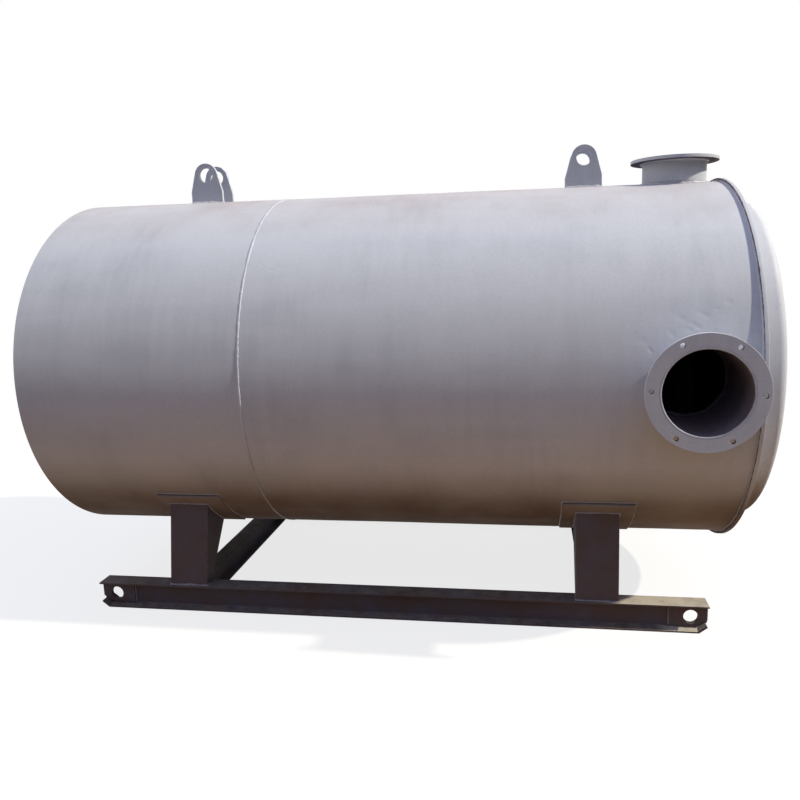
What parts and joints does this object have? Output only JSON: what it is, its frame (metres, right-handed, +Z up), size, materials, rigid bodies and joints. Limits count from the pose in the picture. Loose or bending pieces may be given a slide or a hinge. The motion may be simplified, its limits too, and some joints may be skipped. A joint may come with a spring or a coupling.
{
  "type": "horizontal pressure tank on skid",
  "caption": "Horizontal cylindrical tank with dished heads, a side nozzle and a top nozzle with bolted flanges, lifting lugs, and box legs on an I-beam skid with upturned toes.",
  "frame": {"origin": "on the floor under the middle of the part's overall box", "axes": "+X along the tank towards the end with the nozzles, -Y out of the side nozzle, +Z up"},
  "size_m": [2.75, 1.458, 1.735],
  "materials": {
    "silver_paint": "satin aluminium paint",
    "dark_paint": "satin dark paint"
  },
  "bodies": {
    "root": {"shell_left_course": "silver_paint", "shell_right_course": "silver_paint", "girth_weld": "silver_paint", "left_head": "silver_paint", "right_end_ring": "silver_paint", "right_head": "silver_paint", "side_nozzle_neck": "silver_paint", "side_nozzle_flange": "silver_paint", "top_nozzle_neck": "silver_paint", "top_nozzle_flange": "silver_paint", "lifting_lug_left_front": "silver_paint", "lifting_lug_left_back": "silver_paint", "lifting_lug_right_front": "silver_paint", "lifting_lug_right_back": "silver_paint", "wear_pad_left_front": "silver_paint", "wear_pad_left_back": "silver_paint", "wear_pad_right_front": "silver_paint", "wear_pad_right_back": "silver_paint", "leg_left_front": "dark_paint", "leg_left_back": "dark_paint", "leg_right_front": "dark_paint", "leg_right_back": "dark_paint", "skid_beam_front": "dark_paint", "skid_beam_back": "dark_paint", "end_doubler_front_left": "dark_paint", "end_doubler_front_right": "dark_paint", "end_doubler_back_left": "dark_paint", "end_doubler_back_right": "dark_paint", "cross_beam_left": "dark_paint", "cross_beam_right": "dark_paint"}
  },
  "joints": []
}
